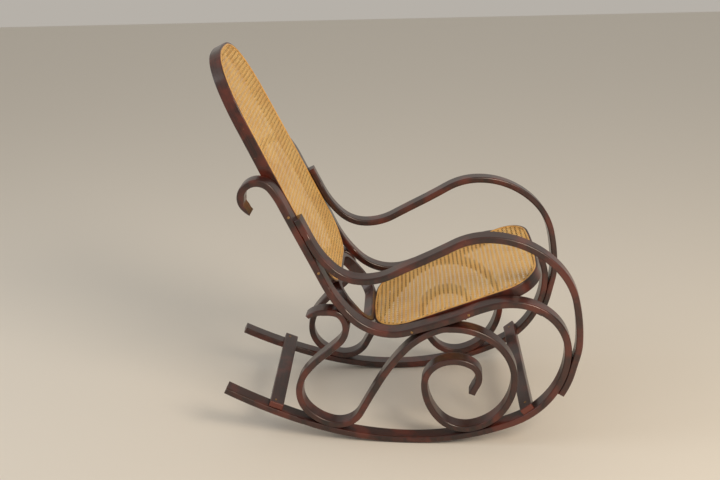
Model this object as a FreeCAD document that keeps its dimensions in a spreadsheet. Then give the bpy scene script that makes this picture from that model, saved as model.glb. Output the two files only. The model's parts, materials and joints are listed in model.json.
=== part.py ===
"""A bentwood rocking chair with a cane seat and a cane back, in millimetres.

Each side is drawn flat, in the side's own plane: x runs to the rear, y runs up and z points to the
middle of the chair. The planes stand wider apart at the front and at the top. A bent strip is a
line of tangent arcs through a few stations, each a place and a heading in degrees (0 to the rear,
90 up, 180 to the front). The chair faces -Y, and the sitter's right is at -X.
"""
import FreeCAD, Part
import math
import os

Vector = FreeCAD.Vector
doc = FreeCAD.newDocument("bentwood_rocking_chair")

# Driving sizes

SIZES = {
    # Bent strips
    "strip_width": 44,
    "main_thick": 19,
    "arm_thick": 18,
    "scroll_thick": 18,
    "hoop_thick": 16.5,
    "edge_round": 4.5,
    "hook_tip_thick": 6,
    "beak_tip_thick": 10.5,
    "bearing_bite": 0.8,
    # How the two sides stand
    "half_gap": 218.5,
    "toe_angle": 3.75,
    "lean_angle": 1.2,
    "origin_along": 2.94,
    # Scarf joints of the long strip and of the scroll
    "low_scarf_from_foot": 147,
    "low_scarf_length": 46,
    "high_scarf_from_dip": 215,
    "high_scarf_length": 58,
    "scroll_scarf_from_bearing": 62,
    "scroll_scarf_length": 52,
    "scarf_nib": 4.6,
    # Arm
    "arm_joint_length": 72,
    "arm_joint_from_back_low": 118,
    "arm_foot_from_front": 54,
    "arm_foot_length": 78,
    # Places where the scroll bears on the long strip
    "front_bearing_from_foot": 195,
    "rear_bearing_from_foot": 214,
    "rail_bearing_from_dip": 128,
    "beak_bearing_from_dip": 142,
    # Seat frame
    "seat_rise_front": 30.4,
    "seat_rise_rear": -0.7,
    "seat_rear_reach": 61.5,
    "seat_length": 490,
    "seat_front_corner": 98,
    "seat_rear_corner": 118,
    "seat_front_bow": 3.5,
    "seat_rear_bow": 5,
    "ring_width": 20,
    "ring_depth": 32,
    "ring_round": 2.5,
    "rim_width": 5,
    "groove_width": 5,
    "groove_depth": 6,
    "cane_thick": 2,
    "spline_proud": 1.2,
    "spline_round": 1.5,
    # Back frame
    "back_proud": 2,
    "back_drop": 57,
    "back_length": 706,
    "back_low_corner": 106,
    "back_shoulder": 518,
    "back_shoulder_inset": 9,
    "back_crown_width": 92,
    "back_crown_drop": 15,
    "side_bite": 1,
    "room_size": 1600,
    # Hoop that links the seat to the back
    "hoop_half_width": 149,
    "hoop_corner": 68,
    "hoop_seat_lap": 4.8,
    "hoop_set_back": 5.4,
    "hoop_low_lap": 4,
    "hoop_back_lap": 3.5,
    # Stretchers
    "rear_stretcher_from_foot": 379,
    "rear_stretcher_width": 40,
    "front_stretcher_from_foot": 362,
    "front_stretcher_width": 37,
    "stretcher_thick": 18,
    "stretcher_inset": 4,
    "stretcher_round": 3,
}

# Stations of the bent strips: along, up, heading

MAIN = {
    "tip": (482, 152, 208),
    "foot": (-19, 9.5, 180),
    "front": (-456, 292, 90),
    "crest": (-308, 433.5, 0),
    "slope": (-190, 401.5, -25),
    "mid": (-120, 374, -20),
    "lead": (-40, 347.5, -19.5),
    "dip": (12, 338, 0),
    "back_low": (190, 486, 65.4),
    "back_high": (292, 706, 65.4),
    "hook_top": (352, 765, 0),
    "hook_rear": (397, 721, -90),
    "hook_end": (371, 684, -150),
}
ARM = {
    "arm_sweep": (88, 492, 180),
    "arm_slope": (-65, 548, 154.5),
    "arm_crown": (-243, 616, 180),
    "arm_shoulder": (-416, 542, 225),
    "arm_front": (-484, 325, 270),
}
SCROLL = {
    "curl_end": (-203, 160, 110),
    "curl_front": (-222, 212, 90),
    "curl_top": (-155, 260, 0),
    "curl_rear": (-74, 185, -90),
    "loop_front": (-317, 205, 90),
    "loop_top": (-155, 357, 0),
    "sweep": (46, 196, -60),
    "tail_rear": (273, 150, 90),
    "tail_back": (200, 268, 140),
    "beak_front": (136, 355, 90),
    "beak_top": (183, 400, 0),
    "beak_end": (237, 382, -45),
}
LINES = {"main": MAIN, "arm": ARM, "scroll": SCROLL}

sheet = doc.addObject("Spreadsheet::Sheet", "sizes")
cells = dict(SIZES)
for stations in LINES.values():
    for name, (along, up, angle) in stations.items():
        cells[name + "_along"] = along
        cells[name + "_up"] = up
for row, (name, value) in enumerate(cells.items(), start=1):
    sheet.set("A%d" % row, name)
    sheet.set("B%d" % row, str(value))
    sheet.setAlias("B%d" % row, name)
doc.recompute()


def size(name):
    """A size as the sheet holds it."""
    return float(sheet.get(name))


def station(line, name):
    """A station of one of the bent lines: its place and its heading."""
    place = Vector(size(name + "_along"), size(name + "_up"), 0)
    return place, LINES[line][name][2]


# Lines of tangent arcs

def ahead(angle):
    """The unit direction of a heading."""
    return Vector(math.cos(math.radians(angle)), math.sin(math.radians(angle)), 0)


def left(angle):
    """The unit direction square to a heading, on its left."""
    return ahead(angle + 90)


def arc(start, angle, end):
    """The arc that leaves start at a heading and ends at end."""
    chord = end - start
    turn = 2 * math.atan2(chord.dot(left(angle)), chord.dot(ahead(angle)))
    length = chord.Length
    if abs(turn) > 1e-6:
        length = chord.Length / 2 / math.sin(abs(turn) / 2) * abs(turn)
    return {"start": start, "end": end, "angle": angle, "turn": math.degrees(turn), "length": length}


def point_on(piece, share):
    """The point and heading at a share of an arc's length."""
    turn = math.radians(piece["turn"]) * share
    run = piece["length"] * share
    if abs(turn) > 1e-9:
        run = run * math.sin(turn / 2) / (turn / 2)
    angle = piece["angle"] + math.degrees(turn) / 2
    return piece["start"] + ahead(angle) * run, piece["angle"] + math.degrees(turn)


def two_arcs(start, angle, end, end_angle):
    """Two tangent arcs from one place and heading to another."""
    chord = end - start
    first = ahead(angle)
    last = ahead(end_angle)
    both = chord.dot(first + last)
    square = 2 * (1 - first.dot(last))
    if square < 1e-9:
        reach = chord.dot(chord) / (4 * chord.dot(last))
    else:
        reach = (math.sqrt(both * both + square * chord.dot(chord)) - both) / square
    middle = (start + end + (first - last) * reach) * 0.5
    one = arc(start, angle, middle)
    return [one, arc(middle, one["angle"] + one["turn"], end)]


def line_through(stations):
    """The line of arcs through a list of places and headings."""
    line = []
    for (start, angle), (end, end_angle) in zip(stations[:-1], stations[1:]):
        line += two_arcs(start, angle, end, end_angle)
    return line


def offset(line, distance):
    """The line moved to its left by a distance."""
    moved = []
    for piece in line:
        end_angle = piece["angle"] + piece["turn"]
        start = piece["start"] + left(piece["angle"]) * distance
        moved.append(arc(start, piece["angle"], piece["end"] + left(end_angle) * distance))
    return moved


def back_to_front(line):
    """The same line, run from its end to its start."""
    return [arc(p["end"], p["angle"] + p["turn"] + 180, p["start"]) for p in reversed(line)]


def length_of(line):
    return sum(piece["length"] for piece in line)


def stretch(line, start, end):
    """The stretch of a line between two distances from its start."""
    kept = []
    done = 0
    for piece in line:
        low = max(start - done, 0) / piece["length"]
        high = min(end - done, piece["length"]) / piece["length"]
        if high - low > 1e-9:
            place, angle = point_on(piece, low)
            kept.append(arc(place, angle, point_on(piece, high)[0]))
        done += piece["length"]
    return kept


def place_at(line, distance):
    """The place and heading at a distance from a line's start."""
    for piece in line:
        if distance <= piece["length"]:
            return point_on(piece, distance / piece["length"])
        distance -= piece["length"]
    return point_on(line[-1], 1)


def tapered(stations, start_half, end_half, side):
    """One side of a stretch whose half thickness runs evenly from one value to another."""
    line = line_through(stations)
    half = start_half
    step = (end_half - start_half) / length_of(line)
    moved = []
    for piece in line:
        next_half = half + step * piece["length"]
        end_angle = piece["angle"] + piece["turn"]
        start = piece["start"] + left(piece["angle"]) * side * half
        end = piece["end"] + left(end_angle) * side * next_half
        moved += two_arcs(start, piece["angle"], end, end_angle)
        half = next_half
    return moved


def curves(line):
    """The arcs and straight runs of a line, as sketch geometry."""
    drawn = []
    for piece in line:
        if abs(piece["turn"]) < 0.01:
            drawn.append(Part.LineSegment(piece["start"], piece["end"]))
        else:
            drawn.append(Part.Arc(piece["start"], point_on(piece, 0.5)[0], piece["end"]))
    return drawn


def outline(one_side, other_side):
    """A closed outline from two sides that run the same way, with straight ends."""
    closing = [
        Part.LineSegment(one_side[-1]["end"], other_side[-1]["end"]),
        Part.LineSegment(other_side[0]["start"], one_side[0]["start"]),
    ]
    return curves(one_side) + curves(other_side) + closing


def polygon(corners):
    """A closed outline through a few corners."""
    return [Part.LineSegment(a, b) for a, b in zip(corners, corners[1:] + corners[:1])]


# Bodies

def sketch_on_plane(body, name, geometry):
    """A sketch on a body's own flat plane."""
    sketch = body.newObject("Sketcher::SketchObject", name)
    plane = [item for item in body.Origin.OriginFeatures if item.Role == "XY_Plane"][0]
    sketch.AttachmentSupport = [(plane, "")]
    sketch.MapMode = "FlatFace"
    sketch.addGeometry(geometry, False)
    return sketch


def flat_body(name, geometry, length, downwards=False):
    """A body padded from an outline, up or down, by a size of the sheet."""
    body = doc.addObject("PartDesign::Body", name)
    pad = body.newObject("PartDesign::Pad", name + "_pad")
    pad.Profile = sketch_on_plane(body, name + "_outline", geometry)
    pad.setExpression("Length", "sizes." + length)
    pad.Reversed = downwards
    body.Tip = pad
    doc.recompute()
    return body


def round_edges(body, radius, chosen):
    """Rounds the edges of a body that a test chooses."""
    base = body.Tip
    names = ["Edge%d" % (i + 1) for i, edge in enumerate(base.Shape.Edges) if chosen(edge)]
    fillet = body.newObject("PartDesign::Fillet", body.Name + "_round")
    fillet.Base = (base, names)
    fillet.setExpression("Radius", "sizes." + radius)
    body.Tip = fillet
    doc.recompute()
    return body


def pocket(body, name, geometry, depth, both_ways=0):
    """Sinks an outline into the top of a body, or cuts it out both ways from the middle plane."""
    before = body.Tip.Shape.Volume
    cut = body.newObject("PartDesign::Pocket", name)
    cut.Profile = sketch_on_plane(body, name + "_outline", geometry)
    cut.setExpression("Length", "sizes." + depth)
    if both_ways:
        cut.setExpression("Length", "sizes.%s * %d" % (depth, both_ways))
        cut.SideType = "Symmetric"
    body.Tip = cut
    doc.recompute()
    if cut.Shape.Volume >= before:
        raise RuntimeError(name + " cuts nothing")
    return body


def bent_strip(name, line, thick, tip):
    """A strip of the side frames: rounded along its edges, and thinner towards its far tip."""
    half = size(thick) / 2
    body = flat_body(name, outline(offset(line, half), offset(line, -half)), "strip_width")
    round_edges(body, "edge_round", lambda edge: edge.BoundBox.ZLength < 1e-4)
    if tip:
        stations, tip_thick = tip
        far_half = half - size(tip_thick)
        thinned = tapered(stations, -half, far_half, 1)
        outside = offset(line_through(stations), -half - size(thick))
        pocket(body, name + "_taper", outline(thinned, outside), "strip_width", 2)
    body.Placement = outer_placement
    return body


parts = []


def finished(item, label):
    """Names a piece that is kept."""
    item.Label = label
    parts.append(item)
    return item


def cut_by(name, base, tools):
    """A piece with the room of other pieces taken out of it, one after another."""
    for number, tool in enumerate(tools, start=1):
        cut = doc.addObject("Part::Cut", "%s_cut_%d" % (name, number))
        cut.Base = base
        cut.Tool = tool
        base = cut
    doc.recompute()
    return base


def common(name, one, other):
    """What two solids share."""
    both = doc.addObject("Part::Common", name)
    both.Base = one
    both.Tool = other
    doc.recompute()
    return both


def both_sides(item, label):
    """Keeps a piece of the right side, and its mirror image on the left."""
    finished(item, "right_" + label)
    mirrored = doc.addObject("Part::Mirroring", "left_" + label)
    mirrored.Source = item
    mirrored.Normal = Vector(1, 0, 0)
    doc.recompute()
    finished(mirrored, "left_" + label)
    return item, mirrored


# The plane of the right side

toe = math.radians(size("toe_angle"))
lean = math.radians(size("lean_angle"))
side_along = Vector(math.sin(toe), math.cos(toe), 0)
side_up = Vector(-math.tan(lean), 0, 1)
side_up = (side_up - side_along * side_up.dot(side_along)).normalize()
side_in = side_along.cross(side_up)
half_width = size("strip_width") / 2
round_half = half_width - size("edge_round")
side_lift = round_half * math.sin(lean) + size("edge_round") * (1 - math.cos(lean))
side_base = Vector(-size("half_gap"), size("origin_along"), side_lift)
side_turn = FreeCAD.Rotation(side_along, side_up, side_in, "XYZ")
side_placement = FreeCAD.Placement(side_base, side_turn)
outer_placement = FreeCAD.Placement(side_base - side_in * half_width, side_turn)


def in_space(place, inward=0):
    """A place of the side's plane in the chair's own frame, moved inwards by a distance."""
    return side_placement.multVec(Vector(place.x, place.y, inward))


def inner_half_width(y, z):
    """Half the room between the two sides' inner faces at a height and depth."""
    face = in_space(Vector(0, 0, 0), half_width)
    return -(face.x - (side_in.y * (y - face.y) + side_in.z * (z - face.z)) / side_in.x)


# The long strip: runner, front loop, seat rail, upright and hook in one line

main_names = list(MAIN)
main_stations = [station("main", name) for name in main_names]
main_line = line_through(main_stations)


def distance_to(name):
    """How far along the long strip's line a station is."""
    return length_of(main_line[:2 * main_names.index(name)])


main_half = size("main_thick") / 2
hook = main_stations[main_names.index("hook_rear"):]
long_strip = bent_strip("long_strip", main_line, "main_thick", (hook, "hook_tip_thick"))

# Scarf joints: a slanting cut between two short square nibs, one at each face of the strip

clear = size("strip_width")
runner_high = size("tip_up") + clear
upright_high = size("hook_top_up") + clear
rear_end = size("tip_along") + clear


def scarf(line, half, start, end, side):
    """The corners of a scarf cut, from outside one face of a strip to outside the other."""
    corners = []
    for distance, way in ((start, side), (end, -side)):
        place, angle = place_at(line, distance)
        outwards = left(angle) * way
        corners.append([place + outwards * (half + clear), place + outwards * (half - size("scarf_nib"))])
    return corners[0] + corners[1][::-1]


def zone_behind(name, cut, low, high):
    """All of the side's plane that lies behind a scarf cut, between two heights."""
    behind = [Vector(cut[3].x, high, 0), Vector(rear_end, high, 0), Vector(rear_end, low, 0)]
    zone = flat_body(name, polygon(cut + behind + [Vector(cut[0].x, low, 0)]), "strip_width")
    zone.Placement = outer_placement
    return zone


low_scarf = distance_to("foot") + size("low_scarf_from_foot")
low_cut = scarf(main_line, main_half, low_scarf + size("low_scarf_length"), low_scarf, 1)
runner_zone = zone_behind("runner_zone", low_cut, low_cut[0].y - clear, runner_high)
high_scarf = distance_to("dip") + size("high_scarf_from_dip")
high_cut = scarf(main_line, main_half, high_scarf, high_scarf + size("high_scarf_length"), -1)
upright_zone = zone_behind("upright_zone", high_cut, high_cut[0].y - clear, upright_high)

runner = common("runner", long_strip, runner_zone)
upright = common("upright", long_strip, upright_zone)
rail = cut_by("rail", long_strip, [runner_zone, upright_zone])
runners = both_sides(runner, "runner")
rails = both_sides(rail, "rail")
uprights = both_sides(upright, "upright")

# Arm: from the front face of the upright, over the crown, down to the outside of the front loop

arm_gap = main_half + size("arm_thick") / 2
in_front = offset(main_line, arm_gap)
joint_low = length_of(in_front[:2 * main_names.index("back_low")]) + size("arm_joint_from_back_low")
joint = back_to_front(stretch(in_front, joint_low, joint_low + size("arm_joint_length")))
foot_high = length_of(in_front[:2 * main_names.index("front")]) - size("arm_foot_from_front")
arm_foot = back_to_front(stretch(in_front, foot_high - size("arm_foot_length"), foot_high))
arm_stations = [(joint[-1]["end"], joint[-1]["angle"] + joint[-1]["turn"])]
arm_stations += [station("arm", name) for name in ARM]
arm_stations += [(arm_foot[0]["start"], arm_foot[0]["angle"])]
arm_line = joint + line_through(arm_stations) + arm_foot
arm = bent_strip("arm", arm_line, "arm_thick", None)
arms = both_sides(arm, "arm")

# Scroll: one line from the inner curl to the beak, bearing on the runner and under the rail, and
# scarfed behind the rail's bearing into a curl and a sweep

scroll_half = size("scroll_thick") / 2
scroll_gap = main_half + scroll_half - size("bearing_bite")
foot = distance_to("foot")
dip = distance_to("dip")


def bearing(distance, turned):
    """Where the scroll's line lies beside the long strip's line, and its heading there."""
    place, angle = place_at(main_line, distance)
    return place - left(angle) * scroll_gap, angle + turned


under_rail = bearing(dip - size("rail_bearing_from_dip"), 0)
scroll_stations = [
    station("scroll", "curl_end"),
    station("scroll", "curl_front"),
    station("scroll", "curl_top"),
    station("scroll", "curl_rear"),
    bearing(foot + size("front_bearing_from_foot"), 0),
    station("scroll", "loop_front"),
    station("scroll", "loop_top"),
    under_rail,
    station("scroll", "sweep"),
    bearing(foot - size("rear_bearing_from_foot"), 180),
    station("scroll", "tail_rear"),
    station("scroll", "tail_back"),
    station("scroll", "beak_front"),
    bearing(dip + size("beak_bearing_from_dip"), 0),
    station("scroll", "beak_top"),
    station("scroll", "beak_end"),
]
scroll_line = line_through(scroll_stations)
beak = scroll_stations[-2:]
whole_scroll = bent_strip("whole_scroll", scroll_line, "scroll_thick", (beak, "beak_tip_thick"))
seated_scroll = cut_by("seated_scroll", whole_scroll, [runner, rail, upright])
scroll_scarf = length_of(scroll_line[:2 * scroll_stations.index(under_rail)])
scroll_scarf += size("scroll_scarf_from_bearing")
scroll_cut = scarf(scroll_line, scroll_half, scroll_scarf + size("scroll_scarf_length"), scroll_scarf, -1)
sweep_zone = zone_behind("sweep_zone", scroll_cut, -clear, upright_high)
curls = both_sides(cut_by("curl", seated_scroll, [sweep_zone]), "curl")
sweeps = both_sides(common("sweep", seated_scroll, sweep_zone), "sweep")

# The room outside the inner faces of the two sides, which trims what stands between them

right_room = doc.addObject("Part::Box", "right_room")
for side in ("Length", "Width", "Height"):
    right_room.setExpression(side, "sizes.room_size")
room = size("room_size")
room_corner = in_space(Vector(-room / 2, -room / 2, 0), half_width - room)
right_room.Placement = FreeCAD.Placement(room_corner, side_turn)
left_room = doc.addObject("Part::Mirroring", "left_room")
left_room.Source = right_room
left_room.Normal = Vector(1, 0, 0)
doc.recompute()
rooms = [right_room, left_room]


# Rings of the seat and the back: a rim, a groove for the spline and a lower land for the cane

def mirrored(line):
    """The mirror image of a line across its own y axis, run the other way."""
    image = []
    for piece in reversed(line):
        start = Vector(-piece["end"].x, piece["end"].y, 0)
        end = Vector(-piece["start"].x, piece["start"].y, 0)
        image.append(arc(start, -(piece["angle"] + piece["turn"]), end))
    return image


def loop_through(stations):
    """A closed line from the stations of its right half, whose inside is on its left."""
    half = line_through(stations)
    return half + mirrored(half)


def lying(origin, rise):
    """A placement whose x runs across the chair and whose y runs along a direction square to it."""
    across = Vector(1, 0, 0)
    return FreeCAD.Placement(origin, FreeCAD.Rotation(across, rise, across.cross(rise), "XYZ"))


def ring_pieces(name, line, placement):
    """A ring with its groove and land, the cane on the land and the spline in the groove."""
    rim = offset(line, size("rim_width"))
    land = offset(line, size("rim_width") + size("groove_width"))
    inside = offset(line, size("ring_width"))
    deep = size("ring_depth")
    outer_middles = [point_on(piece, 0.5)[0] for piece in line]

    def outer_or_low(edge):
        box = edge.BoundBox
        middle = edge.valueAt((edge.FirstParameter + edge.LastParameter) / 2)
        flat = Vector(middle.x, middle.y, 0)
        outer = any((flat - place).Length < 0.1 for place in outer_middles)
        return box.ZLength < 1e-4 and (outer or box.ZMin < -deep / 2)

    ring = flat_body(name + "_ring", curves(line) + curves(inside), "ring_depth", True)
    round_edges(ring, "ring_round", outer_or_low)
    pocket(ring, name + "_groove", curves(rim) + curves(land), "groove_depth")
    beyond = offset(line, size("ring_width") * 1.5)
    pocket(ring, name + "_land", curves(land) + curves(beyond), "cane_thick")
    ring.Placement = placement
    frame = finished(cut_by(name + "_frame", ring, rooms), name + "_frame")

    cane = flat_body(name + "_cane", curves(land), "cane_thick", True)
    cane.Placement = placement
    finished(cane, name + "_cane")

    spline = flat_body(name + "_spline", curves(rim) + curves(land), "groove_depth", True)
    spline.Tip.setExpression("Length", "sizes.groove_depth + sizes.spline_proud")
    doc.recompute()
    top = spline.Tip.Shape.BoundBox.ZMax
    round_edges(spline, "spline_round", lambda edge: edge.BoundBox.ZMin > top - 1e-4)
    proud = Vector(0, 0, size("spline_proud"))
    spline.Placement = placement.multiply(FreeCAD.Placement(proud, FreeCAD.Rotation()))
    finished(spline, name + "_spline")
    return frame, spline


def side_stations(placement, places):
    """Stations on the inner face of the left side, at places along a plane that crosses the chair."""
    ends = []
    for along in places:
        there = placement.multVec(Vector(0, along, 0))
        ends.append(Vector(inner_half_width(there.y, there.z) + size("side_bite"), along, 0))
    run = ends[-1] - ends[0]
    angle = math.degrees(math.atan2(run.y, run.x))
    return [(end, angle) for end in ends]


# Seat

rise_front = in_space(Vector(size("crest_along"), size("crest_up") + size("seat_rise_front"), 0))
rise_rear = in_space(Vector(size("dip_along"), size("dip_up") + size("seat_rise_rear"), 0))
seat_slope = (Vector(0, rise_rear.y, rise_rear.z) - Vector(0, rise_front.y, rise_front.z)).normalize()
seat_placement = lying(Vector(0, rise_rear.y, rise_rear.z), seat_slope)
seat_rear = size("seat_rear_reach")
seat_front = seat_rear - size("seat_length")
front_start = seat_front + size("seat_front_bow") + size("seat_front_corner")
rear_start = seat_rear - size("seat_rear_bow") - size("seat_rear_corner")
seat_sides = side_stations(seat_placement, [front_start, rear_start])
seat_stations = [
    (Vector(0, seat_front, 0), 0),
    (Vector(seat_sides[0][0].x - size("seat_front_corner"), seat_front + size("seat_front_bow"), 0), 4),
    *seat_sides,
    (Vector(seat_sides[1][0].x - size("seat_rear_corner"), seat_rear - size("seat_rear_bow"), 0), 175),
    (Vector(0, seat_rear, 0), 180),
]
seat_frame, seat_spline = ring_pieces("seat", loop_through(seat_stations), seat_placement)

# Back

low_face = in_space(station("main", "back_low")[0] + left(MAIN["back_low"][2]) * main_half)
high_face = in_space(station("main", "back_high")[0] + left(MAIN["back_high"][2]) * main_half)
back_slope = (Vector(0, high_face.y, high_face.z) - Vector(0, low_face.y, low_face.z)).normalize()
back_front = Vector(1, 0, 0).cross(back_slope)
back_origin = Vector(0, low_face.y, low_face.z) + back_front * size("back_proud")
back_placement = lying(back_origin, back_slope)
back_low = -size("back_drop")
back_top = back_low + size("back_length")
straight_top = (high_face - low_face).Length
back_sides = side_stations(back_placement, [back_low + size("back_low_corner"), straight_top])
shoulder = Vector(back_sides[1][0].x - size("back_shoulder_inset"), back_low + size("back_shoulder"), 0)
back_stations = [
    (Vector(0, back_low, 0), 0),
    (Vector(back_sides[0][0].x - size("back_low_corner"), back_low, 0), 0),
    *back_sides,
    (shoulder, 93),
    (Vector(size("back_crown_width"), back_top - size("back_crown_drop"), 0), 156),
    (Vector(0, back_top, 0), 180),
]
back_frame, _ = ring_pieces("back", loop_through(back_stations), back_placement)

# Hoop between the rear of the seat frame and the foot of the back frame

hoop_low = seat_placement.multVec(Vector(0, seat_rear - size("hoop_seat_lap"), 0))
hoop_high = back_placement.multVec(Vector(0, back_low, 0)) + Vector(0, size("hoop_set_back"), 0)
hoop_rise = hoop_high - hoop_low
hoop_placement = lying(hoop_low, Vector(hoop_rise).normalize())
hoop_corner = size("hoop_corner")
hoop_half = size("hoop_half_width")
hoop_bottom = -size("hoop_low_lap")
hoop_top = hoop_rise.Length + size("hoop_back_lap")
hoop_line = loop_through([
    (Vector(0, hoop_bottom, 0), 0),
    (Vector(hoop_half - hoop_corner, hoop_bottom, 0), 0),
    (Vector(hoop_half, hoop_bottom + hoop_corner, 0), 90),
    (Vector(hoop_half, hoop_top - hoop_corner, 0), 90),
    (Vector(hoop_half - hoop_corner, hoop_top, 0), 180),
    (Vector(0, hoop_top, 0), 180),
])
hoop_inside = offset(hoop_line, size("hoop_thick"))
hoop = flat_body("hoop", curves(hoop_line) + curves(hoop_inside), "ring_depth", True)
round_edges(hoop, "ring_round", lambda edge: edge.BoundBox.ZLength < 1e-4)
hoop.Placement = hoop_placement
link_hoop = finished(cut_by("link_hoop", hoop, [seat_frame, seat_spline, back_frame]), "link_hoop")


# Stretchers on the runners

def stretcher(name, distance):
    """A flat bar across the chair on top of both sides, cut to sit on them."""
    place, angle = place_at(main_line, distance)
    top = place - left(angle) * (main_half - size("bearing_bite"))
    under = in_space(top)
    past = in_space(top - ahead(angle))
    run = Vector(0, past.y - under.y, past.z - under.z).normalize()
    half = inner_half_width(under.y, under.z) + size("strip_width") - size("stretcher_inset")
    wide = size(name + "_width") / 2
    corners = [Vector(x, y, 0) for x, y in ((-half, -wide), (half, -wide), (half, wide), (-half, wide))]
    bar = flat_body(name + "_bar", polygon(corners), "stretcher_thick")
    round_edges(bar, "stretcher_round", lambda edge: True)
    bar.Placement = lying(Vector(0, under.y, under.z), run)
    return finished(cut_by(name, bar, list(runners + rails)), name)


rear_stretcher = stretcher("rear_stretcher", foot - size("rear_stretcher_from_foot"))
front_stretcher = stretcher("front_stretcher", foot + size("front_stretcher_from_foot"))

# Checks and files

for item in doc.Objects:
    if "Invalid" in item.State or "Error" in item.State:
        raise RuntimeError("%s failed: %s" % (item.Name, item.State))
for item in parts:
    if item.Shape.isNull() or not item.Shape.isValid():
        raise RuntimeError(item.Label + " has no valid shape")

os.makedirs("parts", exist_ok=True)
for item in parts:
    item.Shape.exportStep("parts/%s.step" % item.Label)
    print(item.Label, len(item.Shape.Solids), "solid,", round(item.Shape.Volume / 1000), "cm3")
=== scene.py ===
"""Dresses a bentwood rocking chair: varnished wood, woven cane panels, spline beads and screws."""
import json
import math

import bpy
import numpy as np
from mathutils import Matrix, Vector


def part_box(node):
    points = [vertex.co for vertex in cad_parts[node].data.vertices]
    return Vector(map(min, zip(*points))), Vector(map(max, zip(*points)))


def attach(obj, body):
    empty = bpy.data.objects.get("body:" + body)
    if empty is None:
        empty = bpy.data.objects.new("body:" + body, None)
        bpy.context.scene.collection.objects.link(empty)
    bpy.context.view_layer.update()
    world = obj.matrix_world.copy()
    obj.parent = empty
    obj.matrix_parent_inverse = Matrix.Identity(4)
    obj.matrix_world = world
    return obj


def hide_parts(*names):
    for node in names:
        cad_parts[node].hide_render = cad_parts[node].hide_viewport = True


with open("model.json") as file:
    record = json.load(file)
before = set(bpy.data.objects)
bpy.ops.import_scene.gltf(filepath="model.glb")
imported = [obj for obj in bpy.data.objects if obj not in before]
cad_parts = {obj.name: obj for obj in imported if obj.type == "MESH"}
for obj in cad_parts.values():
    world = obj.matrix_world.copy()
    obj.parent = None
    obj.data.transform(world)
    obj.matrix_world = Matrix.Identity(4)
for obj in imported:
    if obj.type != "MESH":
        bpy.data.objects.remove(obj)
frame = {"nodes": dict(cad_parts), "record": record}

bl_info = {
    "name": "Bentwood rocking chair",
    "version": (1, 0, 0),
    "blender": (4, 5, 0),
    "location": "3D View > Sidebar > Rocking chair",
    "description": "Varnishes the bent frame, weaves the cane seat and back, and sets the screws",
    "category": "Object",
}

MM = 0.001
BODY = "root"
ACROSS = np.array([1.0, 0.0, 0.0])


def linear(red, green, blue):
    """A colour given as 8-bit screen values, in the linear values that Blender's sockets take."""
    screen = np.array([red, green, blue]) / 255
    curve = np.where(screen <= 0.04045, screen / 12.92, ((screen + 0.055) / 1.055) ** 2.4)
    return tuple(float(value) for value in curve)


def solid(colour):
    """A colour with full alpha."""
    return (*colour, 1.0)


def tint(name, description, colour):
    """A colour property."""
    return bpy.props.FloatVectorProperty(
        name=name, description=description, default=colour, subtype="COLOR", min=0, max=1)


def length(name, description, metres):
    """A length property."""
    return bpy.props.FloatProperty(
        name=name, description=description, default=metres, min=0, unit="LENGTH", precision=5)


def share(name, description, value):
    """A property from 0 to 1."""
    return bpy.props.FloatProperty(
        name=name, description=description, default=value, min=0, max=1, subtype="FACTOR")


def amount(name, description, value):
    """A property that is any number from 0 up."""
    return bpy.props.FloatProperty(name=name, description=description, default=value, min=0)


# Sizes and colours

class VarnishSettings(bpy.types.PropertyGroup):
    """The dark varnish of the bent wood."""

    dark: tint("Dark grain", "Varnish in the pores and over the dark grain", linear(26, 9, 7))
    body: tint("Body", "The even colour of the stained wood", linear(58, 23, 15))
    red: tint("Red patches", "Where the stain is thin and the wood shows red", linear(98, 36, 19))
    worn: tint("Worn", "Bare spots, where the varnish has rubbed away", linear(128, 80, 50))
    grain_width: length("Grain width", "How wide a streak of the grain is", 1.6 * MM)
    grain_length: length("Grain length", "How long a streak of the grain is", 110 * MM)
    patch_size: length("Patch size", "How large the red patches are", 75 * MM)
    wear: share("Wear", "The higher this is, the more of the wood is rubbed bare", 0.33)
    roughness: share("Roughness", "Roughness of the varnish where it is whole", 0.3)
    coat: share("Coat", "How much clear gloss lies over the varnish", 0.4)
    coat_roughness: share("Coat roughness", "Roughness of the clear gloss", 0.16)
    refraction: amount("Refraction", "Index of refraction of the varnish", 1.52)
    end_grain: length("End grain", "How far in the red ends of the stretchers reach", 7 * MM)


class CaneSettings(bpy.types.PropertyGroup):
    """The woven cane of the seat and the back."""

    pitch: length("Pitch", "From one hole of the weave to the next", 12.6 * MM)
    pair_gap: length("Pair gap", "Between the middles of the two strands of a pair", 4.2 * MM)
    strand_width: length("Strand width", "Width of a strand that runs across or along", 3.5 * MM)
    diagonal_width: length("Diagonal width", "Width of a diagonal strand", 3.2 * MM)
    strand_thick: length("Strand thickness", "Thickness of every strand at its middle", 0.8 * MM)
    pair_wave: length("Pair wave", "How far paired strands rise and dip", 0.42 * MM)
    diagonal_wave: length("Diagonal wave", "How far diagonal strands rise and dip", 0.8 * MM)
    edge_gap: length("Edge gap", "Between the ends of the strands and the groove", 0.3 * MM)
    seat_sag: length("Seat sag", "How far the middle of the seat has sunk", 5 * MM)
    back_sag: length("Back sag", "How far the middle of the back has been pushed in", 3 * MM)
    light: tint("Light cane", "Strands with little colour", linear(246, 212, 142))
    gold: tint("Golden cane", "The even colour of the strands", linear(234, 186, 104))
    brown: tint("Brown cane", "Streaks and old stains", linear(190, 128, 60))
    roughness: share("Roughness", "Roughness of the cane's skin", 0.42)
    coat: share("Coat", "How much natural gloss lies over the cane", 0.12)
    coat_roughness: share("Coat roughness", "Roughness of the cane's natural gloss", 0.3)


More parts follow.
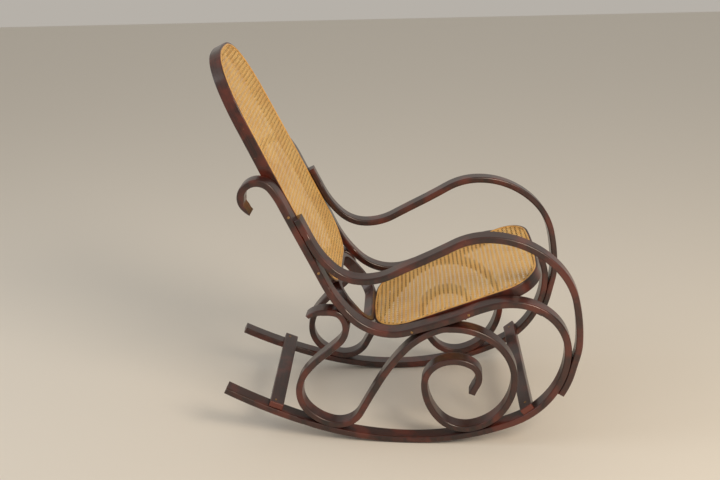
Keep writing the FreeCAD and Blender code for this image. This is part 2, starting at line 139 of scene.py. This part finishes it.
class SplineSettings(bpy.types.PropertyGroup):
    """The reed bead that wedges the cane into its groove."""

    light: tint("Light reed", "The even colour of the bead", linear(232, 182, 100))
    dark: tint("Dark reed", "Streaks along the bead, and varnish that ran into it", linear(164, 100, 44))
    roughness: share("Roughness", "Roughness of the bead", 0.36)
    coat: share("Coat", "How much gloss lies over the bead", 0.2)


class ScrewSettings(bpy.types.PropertyGroup):
    """The wood screws that hold the bent pieces together."""

    head: length("Head", "Diameter of a screw's head", 7.5 * MM)
    dome: length("Dome", "How far a head stands out of the wood", 1.1 * MM)
    slot_width: length("Slot width", "Width of the slot in the head", 1.1 * MM)
    slot_depth: length("Slot depth", "Depth of the slot in the head", 0.8 * MM)
    metal: tint("Metal", "Colour of the heads", linear(176, 140, 96))
    roughness: share("Roughness", "Roughness of the heads", 0.38)


class StageSettings(bpy.types.PropertyGroup):
    """The floor, the lights and the camera."""

    floor: tint("Floor", "Colour of the floor", linear(226, 222, 214))
    floor_roughness: share("Floor roughness", "Roughness of the floor", 0.7)
    floor_side: length("Floor side", "Length of each side of the square floor", 14)
    sky: tint("Surroundings", "Colour of the light from all round", linear(236, 229, 219))
    sky_strength: amount("Surroundings strength", "Strength of the light from all round", 0.56)
    key_colour: tint("Key colour", "Colour of the large lamp in front", linear(255, 236, 212))
    key_power: amount("Key power", "Power of the large lamp in front, in watts", 88)
    fill_power: amount("Fill power", "Power of the lamp behind, in watts", 22)
    lens: amount("Lens", "Focal length of the camera in millimetres, on a 36 mm sensor", 52)


# Nodes of a material

# The colour sockets of a Mix node share their names with others, so they go by number
MIX_FACTOR = 0
MIX_ONE = 6
MIX_OTHER = 7
MIX_COLOUR = 2


def add(tree, kind, values=None, **settings):
    """Adds a node whose inputs get constants, or links where a value is another node's socket."""
    made = tree.nodes.new(kind)
    for name, value in settings.items():
        setattr(made, name, value)
    for name, value in (values or {}).items():
        if isinstance(value, bpy.types.NodeSocket):
            tree.links.new(value, made.inputs[name])
        else:
            made.inputs[name].default_value = value
    return made


def mixed(tree, factor, one, other):
    """The socket of a colour between two others."""
    values = {MIX_FACTOR: factor, MIX_ONE: one, MIX_OTHER: other}
    return add(tree, "ShaderNodeMix", values, data_type="RGBA").outputs[MIX_COLOUR]


def raised(tree, base, value, part):
    """The socket of a base value with a part of another value added to it."""
    values = {0: value, 1: part, 2: base}
    return add(tree, "ShaderNodeMath", values, operation="MULTIPLY_ADD").outputs[0]


def between(tree, value, low, high, to_low=0.0, to_high=1.0):
    """The socket of a value carried from one range to another, smoothly and within its ends."""
    values = {"Value": value, "From Min": low, "From Max": high, "To Min": to_low, "To Max": to_high}
    return add(tree, "ShaderNodeMapRange", values, interpolation_type="SMOOTHSTEP").outputs["Result"]


def noise(tree, vector, size, detail=3.0, roughness=0.55):
    """The socket of a noise whose grains are about a size across, in the vector's own unit."""
    values = {"Vector": vector, "Scale": 1 / size, "Detail": detail, "Roughness": roughness}
    return add(tree, "ShaderNodeTexNoise", values).outputs["Fac"]


def drawn_out(tree, vector, sizes, turn=0.0):
    """A vector turned about the x axis, then measured along its axes in units of the given sizes."""
    values = {"Vector": vector, "Rotation": (turn, 0.0, 0.0), "Scale": sizes}
    return add(tree, "ShaderNodeMapping", values, vector_type="TEXTURE").outputs["Vector"]


def material(name):
    """A new material with a plain shader: itself, its tree and its shader."""
    made = bpy.data.materials.new(name)
    made.use_nodes = True
    tree = made.node_tree
    tree.nodes.clear()
    shader = tree.nodes.new("ShaderNodeBsdfPrincipled")
    ending = tree.nodes.new("ShaderNodeOutputMaterial")
    tree.links.new(shader.outputs["BSDF"], ending.inputs["Surface"])
    return made, tree, shader


def feed(tree, shader, colour, roughness, height, distance):
    """Gives a shader its colour, its roughness and a bump of a given height."""
    bump = add(tree, "ShaderNodeBump", {"Height": height, "Distance": distance, "Strength": 1.0})
    tree.links.new(colour, shader.inputs["Base Color"])
    tree.links.new(roughness, shader.inputs["Roughness"])
    tree.links.new(bump.outputs["Normal"], shader.inputs["Normal"])


# Finishes

def varnish(name, settings, sizes, turn=0.0, red_from=None):
    """Dark varnish over stained wood.

    The grain is a noise drawn out along the piece. Red patches, then bare worn spots, lie over it,
    and the varnish is rougher where it is worn. red_from is how far from the chair's middle plane
    the red end grain of a stretcher starts.
    """
    made, tree, shader = material(name)
    place = add(tree, "ShaderNodeTexCoord").outputs["Object"]
    spot_size = settings.patch_size / 7
    cloud_size = settings.patch_size * 2.2
    worn_from = 1 - settings.wear
    streaks = noise(tree, drawn_out(tree, place, sizes, turn), 1.0, detail=5.0, roughness=0.62)
    patches = between(tree, noise(tree, place, settings.patch_size), 0.46, 0.66, to_high=0.72)
    rubbed = noise(tree, place, spot_size, detail=6.0, roughness=0.68)
    worn = between(tree, rubbed, worn_from, worn_from + 0.04, to_high=0.75)
    clouds = between(tree, noise(tree, place, cloud_size, detail=2.0), 0.4, 0.62)
    colour = mixed(tree, between(tree, streaks, 0.34, 0.6), solid(settings.dark), solid(settings.body))
    colour = mixed(tree, patches, colour, solid(settings.red))
    if red_from:
        sideways = add(tree, "ShaderNodeSeparateXYZ", {"Vector": place}).outputs["X"]
        aside = add(tree, "ShaderNodeMath", {0: sideways}, operation="ABSOLUTE").outputs[0]
        ending = between(tree, aside, red_from, red_from + settings.end_grain)
        colour = mixed(tree, ending, colour, solid(settings.red))
    colour = mixed(tree, worn, colour, solid(settings.worn))
    dull = between(tree, clouds, 0.0, 1.0, settings.roughness, settings.roughness + 0.12)
    dull = raised(tree, dull, worn, 0.3)
    ripple = noise(tree, place, 6 * MM, detail=2.0)
    height = raised(tree, ripple, streaks, 0.35)
    feed(tree, shader, colour, dull, height, distance=0.12 * MM)
    shader.inputs["Coat Weight"].default_value = settings.coat
    shader.inputs["Coat Roughness"].default_value = settings.coat_roughness
    shader.inputs["IOR"].default_value = settings.refraction
    return made


def cane_skin(name, settings):
    """The skin of cane, read along each strand by its own UV map.

    U runs along a strand in metres and V counts the strands, so a noise drawn out along U gives every
    strand a shade and streaks of its own. Old stains lie over all of them. The sizes of a shade and of
    a streak are metres along and strands across.
    """
    made, tree, shader = material(name)
    shade_sizes = (0.12, 1.7, 1.0)
    streak_sizes = (0.02, 0.11, 1.0)
    strand = add(tree, "ShaderNodeUVMap", uv_map="strand").outputs["UV"]
    place = add(tree, "ShaderNodeTexCoord").outputs["Object"]
    shade = noise(tree, drawn_out(tree, strand, shade_sizes), 1.0, detail=2.0)
    streak = noise(tree, drawn_out(tree, strand, streak_sizes), 1.0, detail=4.0)
    stain = noise(tree, place, 90 * MM)
    streaked = between(tree, streak, 0.5, 0.74, to_high=0.55)
    stained = between(tree, stain, 0.46, 0.7, to_high=0.3)
    colour = mixed(tree, between(tree, shade, 0.36, 0.64), solid(settings.gold), solid(settings.light))
    colour = mixed(tree, streaked, colour, solid(settings.brown))
    colour = mixed(tree, stained, colour, solid(settings.brown))
    dull = between(tree, streak, 0.3, 0.7, settings.roughness - 0.06, settings.roughness + 0.14)
    feed(tree, shader, colour, dull, streak, distance=0.1 * MM)
    shader.inputs["Coat Weight"].default_value = settings.coat
    shader.inputs["Coat Roughness"].default_value = settings.coat_roughness
    return made


def reed(name, settings):
    """The smooth reed of the spline bead, with long soft streaks and a little dark varnish on it."""
    made, tree, shader = material(name)
    place = add(tree, "ShaderNodeTexCoord").outputs["Object"]
    streak = noise(tree, place, 14 * MM, detail=4.0)
    spots = noise(tree, place, 60 * MM, detail=4.0, roughness=0.6)
    streaked = between(tree, streak, 0.42, 0.7, to_high=0.5)
    spotted = between(tree, spots, 0.56, 0.7, to_high=0.6)
    colour = mixed(tree, streaked, solid(settings.light), solid(settings.dark))
    colour = mixed(tree, spotted, colour, solid(settings.dark))
    dull = between(tree, streak, 0.3, 0.7, settings.roughness, settings.roughness + 0.12)
    feed(tree, shader, colour, dull, streak, distance=0.1 * MM)
    shader.inputs["Coat Weight"].default_value = settings.coat
    return made


def screw_metal(name, settings):
    """Old brassed steel, darker where varnish and dirt have settled."""
    made, tree, shader = material(name)
    place = add(tree, "ShaderNodeTexCoord").outputs["Object"]
    dirt = noise(tree, place, 3 * MM, detail=4.0, roughness=0.6)
    dirty = between(tree, dirt, 0.46, 0.66, to_high=0.8)
    dark = tuple(0.3 * value for value in settings.metal)
    colour = mixed(tree, dirty, solid(settings.metal), solid(dark))
    dull = between(tree, dirt, 0.4, 0.7, settings.roughness, settings.roughness + 0.2)
    feed(tree, shader, colour, dull, dirt, distance=0.05 * MM)
    shader.inputs["Metallic"].default_value = 1.0
    return made


# Meshes

def mesh_object(name, points, quads, uvs=None):
    """An object at the origin from points and four-cornered faces, shaded smooth."""
    mesh = bpy.data.meshes.new(name)
    mesh.vertices.add(len(points))
    mesh.vertices.foreach_set("co", points.astype(np.float32).ravel())
    mesh.loops.add(quads.size)
    mesh.loops.foreach_set("vertex_index", quads.astype(np.int32).ravel())
    mesh.polygons.add(len(quads))
    mesh.polygons.foreach_set("loop_start", np.arange(len(quads), dtype=np.int32) * 4)
    mesh.polygons.foreach_set("use_smooth", np.ones(len(quads), dtype=bool))
    if uvs is not None:
        layer = mesh.uv_layers.new(name="strand")
        layer.data.foreach_set("uv", uvs[quads.ravel()].astype(np.float32).ravel())
    mesh.update(calc_edges=True)
    mesh.validate()
    made = bpy.data.objects.new(name, mesh)
    bpy.context.scene.collection.objects.link(made)
    return made


def node_points(node):
    """The corners of a node's mesh, in metres."""
    mesh = frame["nodes"][node].data
    points = np.empty(len(mesh.vertices) * 3, dtype=np.float32)
    mesh.vertices.foreach_get("co", points)
    return points.reshape(-1, 3).astype(float)


def nodes_with(slot):
    """The nodes that the record gives a material slot."""
    return [part["node"] for part in frame["record"]["subparts"] if part["material_slot"] == slot]


def tilt_of(node):
    """How far a flat node's plane is turned about the x axis from level, in radians."""
    points = node_points(node)
    spread = np.linalg.svd(points - points.mean(axis=0), full_matrices=False)[2]
    normal = spread[2] * (1 if spread[2][2] > 0 else -1)
    return float(math.atan2(-normal[1], normal[2]))


# Cane

# How many directions an outline is kept in, and how fast a line must near a limit to be cut by it
OUTLINE_WAYS = 240
LEAST_CLOSING = 1e-6
# A strand shorter than this many of its widths is left out
SHORTEST = 3
# Where the four points round a strand's section lie on its UV map's V
SECTION_V = np.array([0.0, 0.2, 0.4, 0.2])
# How many points a strand has along it in one pitch
PAIR_POINTS = 5
DIAGONAL_POINTS = 3.6


class CanePanel:
    """The plane and the rounded outline of a cane node.

    The outline is kept as how far it reaches in many directions, so a line across the panel is cut to
    length between the nearest of those limits on either side.
    """

    def __init__(self, node, settings):
        points = node_points(node)
        tilt = tilt_of(node)
        self.normal = np.array([0.0, -math.sin(tilt), math.cos(tilt)])
        self.rise = np.cross(self.normal, ACROSS)
        across = points @ ACROSS
        along = points @ self.rise
        depth = points @ self.normal
        self.half = np.array([np.ptp(across), np.ptp(along)]) / 2
        self.centre = np.array([across.max() + across.min(), along.max() + along.min()]) / 2
        self.level = (depth.max() + depth.min()) / 2
        turns = np.linspace(0, 2 * math.pi, OUTLINE_WAYS, endpoint=False)
        self.ways = np.stack([np.cos(turns), np.sin(turns)])
        flat = np.stack([across, along], axis=1) - self.centre
        self.reach = (flat @ self.ways).max(axis=0) - settings.edge_gap

    def cut(self, starts, way):
        """Where lines through some starts, all running one way, enter and leave the outline."""
        closing = way @ self.ways
        room = self.reach - starts @ self.ways
        ahead = closing > LEAST_CLOSING
        behind = closing < -LEAST_CLOSING
        leave = (room[:, ahead] / closing[ahead]).min(axis=1)
        enter = (room[:, behind] / closing[behind]).max(axis=1)
        return enter, leave

    def place(self, flat, height):
        """Places on the panel's plane, raised by heights, in the chair's own frame."""
        across = flat[..., 0] + self.centre[0]
        along = flat[..., 1] + self.centre[1]
        return (across[..., None] * ACROSS + along[..., None] * self.rise
                + (self.level + height)[..., None] * self.normal)


def strands(name, panel, angle, offsets, wave, width, thick, step, sag):
    """One set of parallel strands of a panel, as one mesh.

    Each strand follows a straight line of the panel's plane. Its height is a wave, a sine or cosine of
    its place across or along the panel, minus the panel's sag, which is the product of two humps that
    fall to nothing at the panel's ends. Its section is a rhomb: two edges, a crown and a keel.
    """
    way = np.array([math.cos(angle), math.sin(angle)])
    aside = np.array([-way[1], way[0]])
    starts = offsets[:, None] * aside
    enter, leave = panel.cut(starts, way)
    long_enough = leave - enter > SHORTEST * width
    starts, enter, leave = starts[long_enough], enter[long_enough], leave[long_enough]
    kept = offsets[long_enough]
    count = int(np.ceil((leave - enter).max() / step)) + 1
    along = enter[:, None] + (leave - enter)[:, None] * np.linspace(0, 1, count)
    flat = starts[:, None, :] + along[..., None] * way
    humps = np.clip(1 - (flat / panel.half) ** 2, 0, 1)
    height = wave(flat, kept[:, None]) - sag * humps[..., 0] * humps[..., 1]
    middle = panel.place(flat, height)
    edge = (aside[0] * ACROSS + aside[1] * panel.rise) * width / 2
    crown = panel.normal * thick / 2
    corners = np.array([-edge, -crown, edge, crown])
    points = middle[:, :, None, :] + corners[None, None, :, :]
    total = len(kept)
    number = np.arange(total * count * 4).reshape(total, count, 4)
    turned = np.roll(number, -1, axis=2)
    walls = np.stack([number[:, :-1], turned[:, :-1], turned[:, 1:], number[:, 1:]], axis=-1)
    ends = np.concatenate([number[:, 0, ::-1], number[:, -1]])
    faces = np.concatenate([walls.reshape(-1, 4), ends])
    u = np.broadcast_to(along[..., None], number.shape)
    v = np.broadcast_to(SECTION_V, number.shape) + np.arange(total)[:, None, None]
    uvs = np.stack([u, v], axis=-1)
    return mesh_object(name, points.reshape(-1, 3), faces, uvs.reshape(-1, 2))


def weave(context, node, label, sag):
    """A six-way weave over a cane node: pairs across, pairs along and single strands both diagonal ways.

    Pairs run through whole multiples of the pitch and diagonals half way between them, which leaves an
    eight-sided hole in each square. Of two strands that cross, one is on its crest where the other is
    in its trough. There are more lines than the panel needs, and those that miss it are left out.
    """
    settings = context.scene.chair_cane
    panel = CanePanel(node, settings)
    pitch = settings.pitch
    turn = 2 * math.pi / pitch
    most = int(np.ceil(panel.half.max() * 1.5 / pitch))
    lines = np.arange(-most, most + 1) * pitch
    pairs = np.sort(np.concatenate([lines - settings.pair_gap / 2, lines + settings.pair_gap / 2]))
    diagonals = (np.arange(-2 * most, 2 * most + 1) + 0.5) * pitch / math.sqrt(2)

    def pair_wave(axis):
        def wave(flat, offset):
            side = np.sign(np.sin(turn * offset))
            return side * settings.pair_wave * np.sin(turn * flat[..., axis])
        return wave

    def diagonal_wave(sign):
        def wave(flat, offset):
            return sign * settings.diagonal_wave * np.cos(turn * flat[..., 0])
        return wave

    wide = settings.strand_width
    narrow = settings.diagonal_width
    sets = (
        ("across", 0.0, pairs, pair_wave(0), wide, PAIR_POINTS),
        ("along", math.pi / 2, pairs, pair_wave(1), wide, PAIR_POINTS),
        ("rising", math.pi / 4, diagonals, diagonal_wave(1), narrow, DIAGONAL_POINTS),
        ("falling", 3 * math.pi / 4, diagonals, diagonal_wave(-1), narrow, DIAGONAL_POINTS),
    )
    skin = cane_skin(label + "_cane_skin", settings)
    for name, angle, offsets, wave, width, points in sets:
        made = strands("%s_cane_%s" % (label, name), panel, angle, offsets, wave, width,
                       settings.strand_thick, pitch / points, sag)
        made.data.materials.append(skin)
        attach(made, BODY)
        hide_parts(node)


# Screws

# A screw head's rings of points, and the points in each ring
HEAD_RINGS = 12
HEAD_AROUND = 40
# Where the innermost ring and the rings of the underside stand, as shares of the head's radius
HEAD_MIDDLE = 0.04
UNDERSIDE = (HEAD_MIDDLE, 0.6, 1.0)
# How deep in the wood the underside lies, and how deep the slot may reach at the rim
UNDERSIDE_DEPTH = 0.5 * MM
RIM_DEPTH = 0.2 * MM
# How far the slot turns from one screw to the next, in radians
SLOT_TURN = 0.9


def screw_head(place, normal, slot_way, settings):
    """The points and faces of a domed screw head with a slot.

    Rings of points stand at even steps from the rim to the middle. Their height is that of a dome, a
    quarter ellipse, less a trough whose depth falls off as the exponential of the fourth power of the
    distance from the slot's middle. The rim is carried down into the wood and closed there.
    """
    radius = settings.head / 2
    out = np.concatenate([UNDERSIDE, np.linspace(1, HEAD_MIDDLE, HEAD_RINGS)])[:, None]
    turns = np.linspace(0, 2 * math.pi, HEAD_AROUND, endpoint=False)
    x = radius * out * np.cos(turns)
    y = radius * out * np.sin(turns)
    dome = settings.dome * np.sqrt(np.clip(1 - out ** 2, 0, 1))
    trough = settings.slot_depth * np.exp(-(2 * y / settings.slot_width) ** 4)
    z = dome - np.minimum(trough, dome + RIM_DEPTH)
    z[:len(UNDERSIDE)] = -UNDERSIDE_DEPTH
    normal = Vector(normal).normalized()
    first = Vector(slot_way) - normal * Vector(slot_way).dot(normal)
    first.normalize()
    second = normal.cross(first)
    points = (np.array(place) + x[..., None] * np.array(first) + y[..., None] * np.array(second)
              + z[..., None] * np.array(normal))
    number = np.arange(out.size * HEAD_AROUND).reshape(-1, HEAD_AROUND)
    turned = np.roll(number, -1, axis=1)
    walls = np.stack([number[:-1], turned[:-1], turned[1:], number[1:]], axis=-1).reshape(-1, 4)
    half = HEAD_AROUND // 2
    lids = []
    for ring, flip in ((number[0], True), (number[-1], False)):
        near = ring[:half]
        far = ring[:half - 1:-1]
        strip = np.stack([near[:-1], near[1:], far[1:], far[:-1]], axis=-1)
        lids.append(strip[:, ::-1] if flip else strip)
    return points.reshape(-1, 3), np.concatenate([walls, *lids])


# Where the screws of the right side go: the node that holds each, a place beside it in metres
# (from the middle plane, from front to back, up) and the way in from there.
SCREWS = (
    ("rail", (-0.40, -0.187, 0.402), (1, 0, 0)),
    ("rail", (-0.40, -0.037, 0.348), (1, 0, 0)),
    ("upright", (-0.40, 0.206, 0.516), (1, 0, 0)),
    ("upright", (-0.40, 0.278, 0.673), (1, 0, 0)),
    ("front_stretcher", (-0.235, -0.345, 0.30), (0, 0, -1)),
    ("rear_stretcher", (-0.198, 0.346, 0.30), (0, 0, -1)),
)


def on_side(vector, sign):
    """A vector given for the right side, kept where the sign is 1 and mirrored where it is -1."""
    return Vector((sign * vector[0], vector[1], vector[2]))


def screw_spot(node, start, way):
    """Where a straight line from a start meets a node, and the node's facing there."""
    found, place, normal, _ = frame["nodes"][node].ray_cast(start, way)
    if not found:
        raise RuntimeError("a screw misses " + node)
    return place, normal


# Operators

class CHAIR_OT_varnish(bpy.types.Operator):
    """Varnishes every bent wood piece, with the grain along it"""

    bl_idname = "chair.varnish"
    bl_label = "Varnish the bent wood"

    def execute(self, context):
        settings = context.scene.chair_varnish
        wide = settings.grain_width
        far = settings.grain_length
        sides = varnish("side_varnish", settings, (wide, far, far))
        finishes = {
            "seat_frame": varnish("seat_varnish", settings, (far, far, wide), tilt_of("seat_cane")),
            "back_frame": varnish("back_varnish", settings, (far, far, wide), tilt_of("back_cane")),
            "link_hoop": varnish("hoop_varnish", settings, (far, wide, far)),
        }
        for name in ("front_stretcher", "rear_stretcher"):
            red_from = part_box(name)[1].x - settings.end_grain
            finishes[name] = varnish(name + "_varnish", settings, (far, wide, wide), red_from=red_from)
        for name in nodes_with("bent_wood"):
            coat = finishes.get(name, sides)
            for slot in frame["nodes"][name].material_slots:
                slot.material = coat
        return {"FINISHED"}


class CHAIR_OT_weave_seat(bpy.types.Operator):
    """Weaves the cane of the seat"""

    bl_idname = "chair.weave_seat"
    bl_label = "Weave the seat"

    def execute(self, context):
        weave(context, "seat_cane", "seat", context.scene.chair_cane.seat_sag)
        return {"FINISHED"}


class CHAIR_OT_weave_back(bpy.types.Operator):
    """Weaves the cane of the back"""

    bl_idname = "chair.weave_back"
    bl_label = "Weave the back"

    def execute(self, context):
        weave(context, "back_cane", "back", context.scene.chair_cane.back_sag)
        return {"FINISHED"}


class CHAIR_OT_splines(bpy.types.Operator):
    """Finishes the reed beads round both panels"""

    bl_idname = "chair.splines"
    bl_label = "Finish the spline beads"

    def execute(self, context):
        coat = reed("reed_bead", context.scene.chair_spline)
        for name in nodes_with("spline"):
            for slot in frame["nodes"][name].material_slots:
                slot.material = coat
        return {"FINISHED"}


class CHAIR_OT_screws(bpy.types.Operator):
    """Sets the screw heads into both sides"""

    bl_idname = "chair.screws"
    bl_label = "Set the screws"

    def execute(self, context):
        settings = context.scene.chair_screws
        points = []
        faces = []
        count = 0
        for number, (name, start, way) in enumerate(SCREWS):
            for side, sign in (("right_", 1), ("left_", -1)):
                node = side + name if side + name in frame["nodes"] else name
                place, normal = screw_spot(node, on_side(start, sign), on_side(way, sign))
                slot_way = Matrix.Rotation(SLOT_TURN * number + sign, 3, normal) @ normal.orthogonal()
                head, walls = screw_head(place, normal, slot_way, settings)
                points.append(head)
                faces.append(walls + count)
                count += len(head)
        made = mesh_object("screw_heads", np.concatenate(points), np.concatenate(faces))
        made.data.materials.append(screw_metal("screw_metal", settings))
        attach(made, BODY)
        return {"FINISHED"}


# Where the lamps stand and what they face, and the length of their sides, in metres
LIT_PLACE = (0, 0, 0.45)
KEY_PLACE = (-2.4, -1.9, 2.7)
KEY_SIDE = 1.5
FILL_PLACE = (-0.6, 2.8, 2.2)
FILL_SIDE = 2.0
# Where the camera stands in metres, and how far it is pitched down, yawed left and rolled in degrees
CAMERA_PLACE = (-2.7485, -0.0308, 1.5840)
CAMERA_PITCH = 21.189
CAMERA_YAW = 2.854
CAMERA_ROLL = -1.724
# Width of the camera's sensor, in millimetres
SENSOR_WIDTH = 36


def lamp(name, place, side, watts, colour=(1.0, 1.0, 1.0)):
    """A square lamp that faces the chair."""
    data = bpy.data.lights.new(name, "AREA")
    data.size = side
    data.energy = watts
    data.color = colour
    made = bpy.data.objects.new(name, data)
    made.location = place
    made.rotation_euler = (Vector(LIT_PLACE) - Vector(place)).to_track_quat("-Z", "Y").to_euler()
    bpy.context.scene.collection.objects.link(made)


def camera_turn(pitch, yaw, roll):
    """The turn of a camera that looks along +X, then yawed left, pitched down and rolled, in degrees."""
    down, aside, lean = (math.radians(angle) for angle in (pitch, yaw, roll))
    look = Vector((math.cos(down) * math.cos(aside), math.cos(down) * math.sin(aside), -math.sin(down)))
    right = look.cross(Vector((0, 0, 1))).normalized()
    up = right.cross(look)
    rolled_right = math.cos(lean) * right + math.sin(lean) * up
    rolled_up = math.cos(lean) * up - math.sin(lean) * right
    return Matrix((rolled_right, rolled_up, -look)).transposed()


class CHAIR_OT_stage(bpy.types.Operator):
    """Sets out the floor, the lights and the camera"""

    bl_idname = "chair.stage"
    bl_label = "Set the stage"

    def execute(self, context):
        scene = context.scene
        settings = scene.chair_stage
        half = settings.floor_side / 2
        corners = np.array([[-half, -half, 0], [half, -half, 0], [half, half, 0], [-half, half, 0]])
        floor = mesh_object("floor", corners, np.array([[0, 1, 2, 3]]))
        plain, _, shader = material("pale_floor")
        shader.inputs["Base Color"].default_value = solid(settings.floor)
        shader.inputs["Roughness"].default_value = settings.floor_roughness
        floor.data.materials.append(plain)
        lamp("key_lamp", KEY_PLACE, KEY_SIDE, settings.key_power, settings.key_colour)
        lamp("fill_lamp", FILL_PLACE, FILL_SIDE, settings.fill_power)
        world = bpy.data.worlds.new("surroundings")
        world.use_nodes = True
        sky = world.node_tree.nodes["Background"]
        sky.inputs["Color"].default_value = solid(settings.sky)
        sky.inputs["Strength"].default_value = settings.sky_strength
        scene.world = world
        scene.view_settings.view_transform = "Standard"
        data = bpy.data.cameras.new("camera")
        data.sensor_width = SENSOR_WIDTH
        data.lens = settings.lens
        camera = bpy.data.objects.new("camera", data)
        turn = camera_turn(CAMERA_PITCH, CAMERA_YAW, CAMERA_ROLL)
        camera.matrix_world = Matrix.Translation(CAMERA_PLACE) @ turn.to_4x4()
        scene.collection.objects.link(camera)
        scene.camera = camera
        return {"FINISHED"}


class CHAIR_PT_sidebar(bpy.types.Panel):
    """Lists the steps and their sizes"""

    bl_idname = "CHAIR_PT_sidebar"
    bl_label = "Rocking chair"
    bl_space_type = "VIEW_3D"
    bl_region_type = "UI"
    bl_category = "Rocking chair"

    def draw(self, context):
        for operators, group in STEPS:
            box = self.layout.box()
            for operator in operators:
                box.operator(operator.bl_idname)
            settings = getattr(context.scene, group)
            for name in settings.bl_rna.properties.keys():
                if name not in ("rna_type", "name"):
                    box.prop(settings, name)


STEPS = (
    ((CHAIR_OT_varnish,), "chair_varnish"),
    ((CHAIR_OT_weave_seat, CHAIR_OT_weave_back), "chair_cane"),
    ((CHAIR_OT_splines,), "chair_spline"),
    ((CHAIR_OT_screws,), "chair_screws"),
    ((CHAIR_OT_stage,), "chair_stage"),
)
GROUPS = {
    "chair_varnish": VarnishSettings,
    "chair_cane": CaneSettings,
    "chair_spline": SplineSettings,
    "chair_screws": ScrewSettings,
    "chair_stage": StageSettings,
}


def register():
    """Registers the classes and gives the scene its settings."""
    for name, group in GROUPS.items():
        bpy.utils.register_class(group)
        setattr(bpy.types.Scene, name, bpy.props.PointerProperty(type=group))
    for operators, _ in STEPS:
        for operator in operators:
            bpy.utils.register_class(operator)
    bpy.utils.register_class(CHAIR_PT_sidebar)


def unregister():
    """Takes back what register did."""
    bpy.utils.unregister_class(CHAIR_PT_sidebar)
    for operators, _ in reversed(STEPS):
        for operator in reversed(operators):
            bpy.utils.unregister_class(operator)
    for name, group in GROUPS.items():
        delattr(bpy.types.Scene, name)
        bpy.utils.unregister_class(group)


def main():
    """Dresses the chair."""
    register()
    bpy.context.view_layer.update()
    bpy.ops.chair.varnish()
    bpy.ops.chair.weave_seat()
    bpy.ops.chair.weave_back()
    bpy.ops.chair.splines()
    bpy.ops.chair.screws()
    bpy.ops.chair.stage()


if __name__ == "__main__":
    main()
